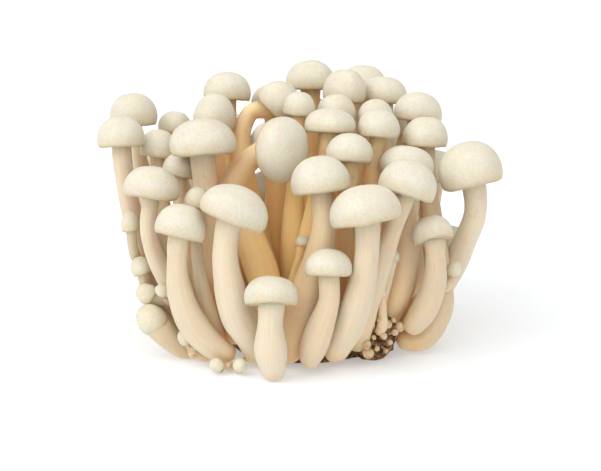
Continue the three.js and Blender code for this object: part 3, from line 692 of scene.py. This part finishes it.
# %% Places of the pins
# Head and radius in millimetres, then the point that the stalk comes from.
LUMP, PLUG = (20.6, -18.9, 6.5), (2.0, -10.0, 4.0)
PINS = [
    ((19.5, -27.5, 15.9), 1.4, LUMP), ((22.9, -26.9, 16.8), 1.75, LUMP),
    ((22.9, -27.7, 13.7), 1.4, LUMP), ((19.8, -28.5, 12.0), 1.3, LUMP),
    ((16.7, -28.3, 9.9), 1.2, LUMP), ((15.8, -28.7, 6.2), 1.75, LUMP),
    ((18.6, -29.1, 6.5), 1.6, LUMP), ((19.3, -29.1, 3.9), 1.6, LUMP),
    ((24.9, -26.9, 11.7), 1.2, LUMP), ((23.7, -27.9, 8.6), 1.05, LUMP),
    ((26.9, -25.5, 9.0), 1.05, LUMP), ((28.3, -23.7, 10.0), 1.4, LUMP),
    ((-11.9, -28.1, 4.0), 1.9, PLUG), ((5.1, -28.5, 9.0), 1.6, PLUG),
    ((20.9, -28.7, 8.4), 0.7, LUMP), ((22.2, -28.5, 10.6), 0.7, LUMP),
    ((18.0, -28.4, 13.2), 0.7, LUMP), ((25.6, -27.4, 6.6), 0.75, LUMP),
    ((21.8, -29.0, 5.2), 0.75, LUMP), ((24.4, -27.8, 4.2), 0.7, LUMP),
    ((21.0, -28.2, 14.4), 0.65, LUMP), ((26.5, -25.6, 12.6), 0.7, LUMP),
    ((-38.9, -20.0, 24.5), 1.1, (-41, -15, 21)), ((-37.7, -24.5, 18.6), 1.2, (-37, -19, 15)),
    ((-30.2, -30.0, 4.4), 1.6, (-25, -27, 4)), ((-20.0, -35.4, 1.8), 1.3, (-13, -28, 3)),
]
print("pins:", len(PINS))

# %% Shape of a pin
PIN_SIDES, STALK_RINGS = 18, 7
LONGEST_STALK = 7 * MM
STALK_WIDTH, STALK_WAIST = 0.50, 0.12        # as shares of the head's radius
NECK_BELOW = 0.92                            # how far under the head's middle the neck is
UNEVEN_PIN = {2: 0.06, 3: 0.04}
HEAD = [(0.50, -0.92), (0.80, -0.62), (0.98, -0.18), (0.99, 0.22), (0.84, 0.62),
        (0.50, 0.90), (0.18, 0.99)]          # out and up, as shares of the head's radius


def pin_rings(head, radius, root, chance):
    """Rings of one pin from the medium up over its head, and the point that closes it."""
    head, root, radius = np.array(head) * MM, np.array(root) * MM, radius * MM
    axis = (head - root) / np.linalg.norm(head - root)
    start = head - axis * min(np.linalg.norm(head - root), LONGEST_STALK)
    neck = head - axis * radius * NECK_BELOW
    side, other = across(axis)
    angle = np.linspace(0, 2 * math.pi, PIN_SIDES, endpoint=False)
    uneven = 1 + waves(chance, UNEVEN_PIN)(angle)
    bow = (side * chance.uniform(-1, 1) + other * chance.uniform(-1, 1)) * 0.5 * radius
    rings = []
    for t in np.linspace(0, 0.94, STALK_RINGS):
        width = radius * (STALK_WIDTH - STALK_WAIST * math.sin(math.pi * t))
        rings.append((start + (neck - start) * t + bow * math.sin(math.pi * t), width))
    rings += [(head + axis * up * radius, out * radius) for out, up in HEAD]
    turned = [c + np.outer(np.cos(angle) * w * uneven, side)
              + np.outer(np.sin(angle) * w * uneven, other) for c, w in rings]
    return np.array(turned), head + axis * radius


trial, _ = pin_rings(*PINS[0], random.Random("trial"))
print("rings of a pin:", len(trial))

# %% Grow the pins
def grow_pins():
    """All pins in one mesh, each closed at both ends."""
    chance = random.Random("pins")
    places, faces = [], []
    for head, radius, root in PINS:
        rings, top = pin_rings(head, radius, root, chance)
        base, count = len(places), len(rings)
        places += [*rings.reshape(-1, 3).tolist(), top.tolist(), rings[0].mean(0).tolist()]
        faces += ring_faces(base, count, PIN_SIDES)
        last, tip = base + (count - 1) * PIN_SIDES, base + count * PIN_SIDES
        for s in range(PIN_SIDES):
            t = (s + 1) % PIN_SIDES
            faces += [(tip, last + s, last + t), (tip + 1, base + t, base + s)]
    mesh = bpy.data.meshes.new("pins")
    mesh.from_pydata(places, [], faces)
    mesh.polygons.foreach_set("use_smooth", [True] * len(faces))
    piece = bpy.data.objects.new("pins", mesh)
    bpy.context.scene.collection.objects.link(piece)
    return piece


pins = grow_pins()
print("faces of the pins:", len(pins.data.polygons))

# %% [markdown]
# ## The pins' flesh
# Pins are browner than grown mushrooms, in patches. Each pin could have a finish of its
# own, but one noise through a ramp of three browns makes them differ just as well.

# %% Finish of the pins
PIN_BROWN, PIN_TAN, PIN_CREAM = (0.42, 0.27, 0.14), (0.68, 0.52, 0.33), (0.80, 0.68, 0.49)
IN_PINS, PIN_SCALE = 0.3 * MM, 520.0


def pin_finish():
    """Flesh of the pins, browner in patches."""
    made, shader, node, link = material(
        "pin_flesh", Roughness=0.5, Subsurface_Weight=0.5, Subsurface_Radius=GLOW,
        Subsurface_Scale=IN_PINS, Specular_IOR_Level=0.3)
    place = node("TexCoord").outputs["Object"]
    noise = node("TexNoise", {"Vector": place}, Scale=PIN_SCALE, Detail=5.0, Roughness=0.65)
    colour = ramp(node, noise.outputs["Fac"], (0.30, PIN_BROWN), (0.48, PIN_TAN),
                  (0.68, PIN_CREAM))
    link(colour, shader.inputs["Base Color"])
    bump = node("Bump", {"Height": noise.outputs["Fac"]}, Strength=0.4, Distance=0.08 * MM)
    link(bump.outputs["Normal"], shader.inputs["Normal"])
    return made


pins.data.materials.append(pin_finish())
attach(pins, "root")
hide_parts("growing_medium")
print("pin finish:", pins.data.materials[0].name)

# %% [markdown]
# ## The floor
# The bunch stands on plain white, and its shadows there are faint. More light from all
# sides would make them faint too, but it would flatten the caps as well. So the floor
# glows a little by itself, as a lit table does.

# %% Floor
FLOOR_SIZE = 3.0
FLOOR_WHITE, FLOOR_GLOW = (0.67, 0.71, 0.76, 1), 0.35
GLOW_COLOUR = (1, 1, 1, 1)


def plain_floor():
    """One wide square at height zero."""
    half = FLOOR_SIZE / 2
    mesh = bpy.data.meshes.new("floor")
    mesh.from_pydata([(-half, -half, 0), (half, -half, 0), (half, half, 0), (-half, half, 0)],
                     [], [(0, 1, 2, 3)])
    floor = bpy.data.objects.new("floor", mesh)
    bpy.context.scene.collection.objects.link(floor)
    made, shader, _, _ = material("floor_white", Roughness=0.9, Specular_IOR_Level=0.1,
                                  Emission_Strength=FLOOR_GLOW)
    shader.inputs["Base Color"].default_value = FLOOR_WHITE
    shader.inputs["Emission Color"].default_value = GLOW_COLOUR
    mesh.materials.append(made)
    return floor


floor = plain_floor()
print("floor in metres:", FLOOR_SIZE)

# %% [markdown]
# ## The light
# Studio light comes softly from the upper left, with a little from above and in front.
# Area lamps could be placed around the bunch, but a sun as wide as a soft box lights all
# of it evenly. A warm sky fills the shadows between the stems.

# %% Light
SKY_COLOUR, SKY_STRENGTH = (1.0, 0.95, 0.86, 1), 0.55


def soft_sun(name, comes_from, softness, strength):
    """A sun lamp as wide as a studio's soft box: softness is its angle in degrees."""
    data = bpy.data.lights.new(name, "SUN")
    data.angle, data.energy = math.radians(softness), strength
    lamp = bpy.data.objects.new(name, data)
    lamp.rotation_euler = (-Vector(comes_from)).to_track_quat("-Z", "Y").to_euler()
    bpy.context.scene.collection.objects.link(lamp)


soft_sun("key_upper_left", (-0.75, -0.50, 0.75), 40, 1.05)
soft_sun("top", (0.0, 0.0, 1.0), 90, 0.85)
soft_sun("front_fill", (0.0, -0.95, 0.70), 50, 0.72)
sky = bpy.context.scene.world or bpy.data.worlds.new("sky")
bpy.context.scene.world = sky
sky.use_nodes = True
sky.node_tree.nodes["Background"].inputs["Color"].default_value = SKY_COLOUR
sky.node_tree.nodes["Background"].inputs["Strength"].default_value = SKY_STRENGTH
bpy.context.scene.view_settings.view_transform = "Standard"
print("lamps:", len(bpy.data.lights))

# %% [markdown]
# ## The camera
# The photo was taken from in front and a little above. Near lenses spread the caps that
# stand in front, so a long lens from far away keeps the rims nearly straight. Its focal
# length follows from the size of a picture point at the bunch.

# %% Camera
AIM = Vector((0.1, -3.85, 32.0)) * MM     # what the middle of the picture looks at
ELEVATION = math.radians(14)
DISTANCE = 800 * MM
PIXEL = 0.29 * MM                         # size of a picture point at the aim
PICTURE_WIDTH = 601
SENSOR = 36                               # millimetres across

eye = bpy.data.cameras.new("camera")
eye.sensor_width = SENSOR
eye.lens = SENSOR * (DISTANCE / PIXEL) / PICTURE_WIDTH
eye.clip_start, eye.clip_end = 0.01, 20
camera = bpy.data.objects.new("camera", eye)
back = Vector((0, -math.cos(ELEVATION), math.sin(ELEVATION)))
camera.location = AIM + back * DISTANCE
camera.rotation_euler = (-back).to_track_quat("-Z", "Y").to_euler()
bpy.context.scene.collection.objects.link(camera)
bpy.context.scene.camera = camera
print("lens:", round(eye.lens, 1), "mm")
